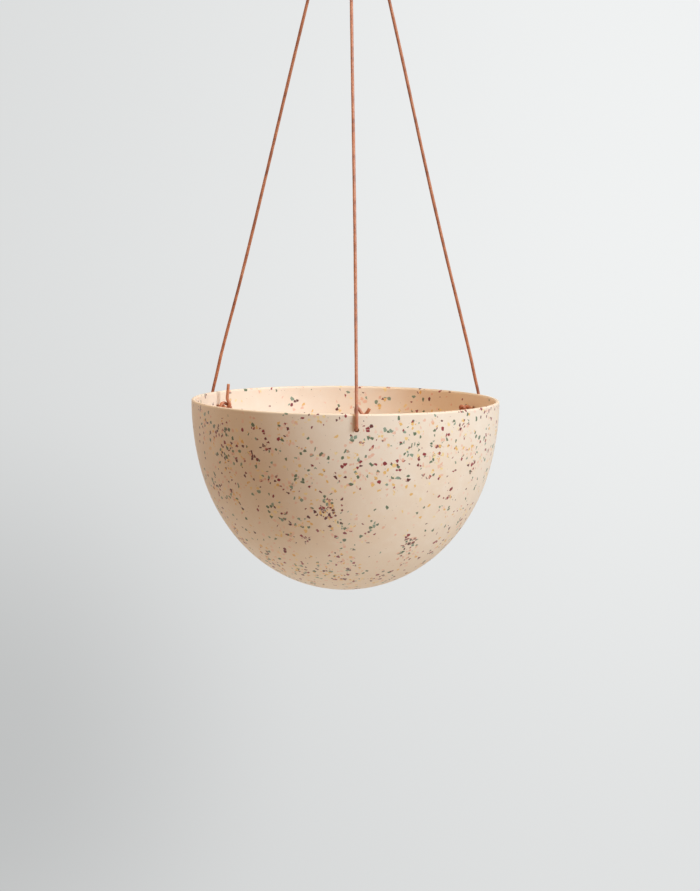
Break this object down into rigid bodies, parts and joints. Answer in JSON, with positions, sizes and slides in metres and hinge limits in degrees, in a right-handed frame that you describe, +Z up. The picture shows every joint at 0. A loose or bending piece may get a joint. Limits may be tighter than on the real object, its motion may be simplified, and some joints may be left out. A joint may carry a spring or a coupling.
{
  "type": "hanging planter",
  "caption": "Thin-walled round-bottomed terrazzo bowl hung on leather cords that pass through holes under its rim, end in stop knots inside, and gather in a top knot with a hanging loop.",
  "frame": {"origin": "the seat of the hook: the inside of the hanging loop's top, straight above the bowl's centre", "axes": "+Z up along the bowl's axis, +X to the viewer's right and +Y away from the viewer, so that the viewer stands on the -Y side"},
  "size_m": [0.23, 0.2326, 0.6204],
  "materials": {
    "terrazzo": "honed peach terrazzo with maroon, teal, mustard and coral chips, satin",
    "leather_cord": "round tan-brown leather lace, lightly waxed, with fine cracks"
  },
  "bodies": {
    "hanger": {"hang_loop": "leather_cord"},
    "knot": {"top_knot": "leather_cord"},
    "neck": {"neck_strands": "leather_cord"},
    "planter": {"bowl": "terrazzo", "cord_front": "leather_cord", "cord_back_right": "leather_cord", "cord_back_left": "leather_cord", "stop_knot_front": "leather_cord", "stop_knot_back_right": "leather_cord", "stop_knot_back_left": "leather_cord"}
  },
  "joints": [
    {"name": "sway_fore", "type": "hinge", "parent": "hanger", "child": "knot", "pos_m": [0, 0, -0.03838], "axis": [1, 0, 0], "range_deg": [-20, 20]},
    {"name": "sway_side", "type": "hinge", "parent": "knot", "child": "neck", "pos_m": [0, 0, -0.03838], "axis": [0, 1, 0], "range_deg": [-20, 20]},
    {"name": "turn", "type": "hinge", "parent": "neck", "child": "planter", "pos_m": [0, 0, -0.05706], "axis": [0, 0, 1], "range_deg": [-90, 90]}
  ]
}
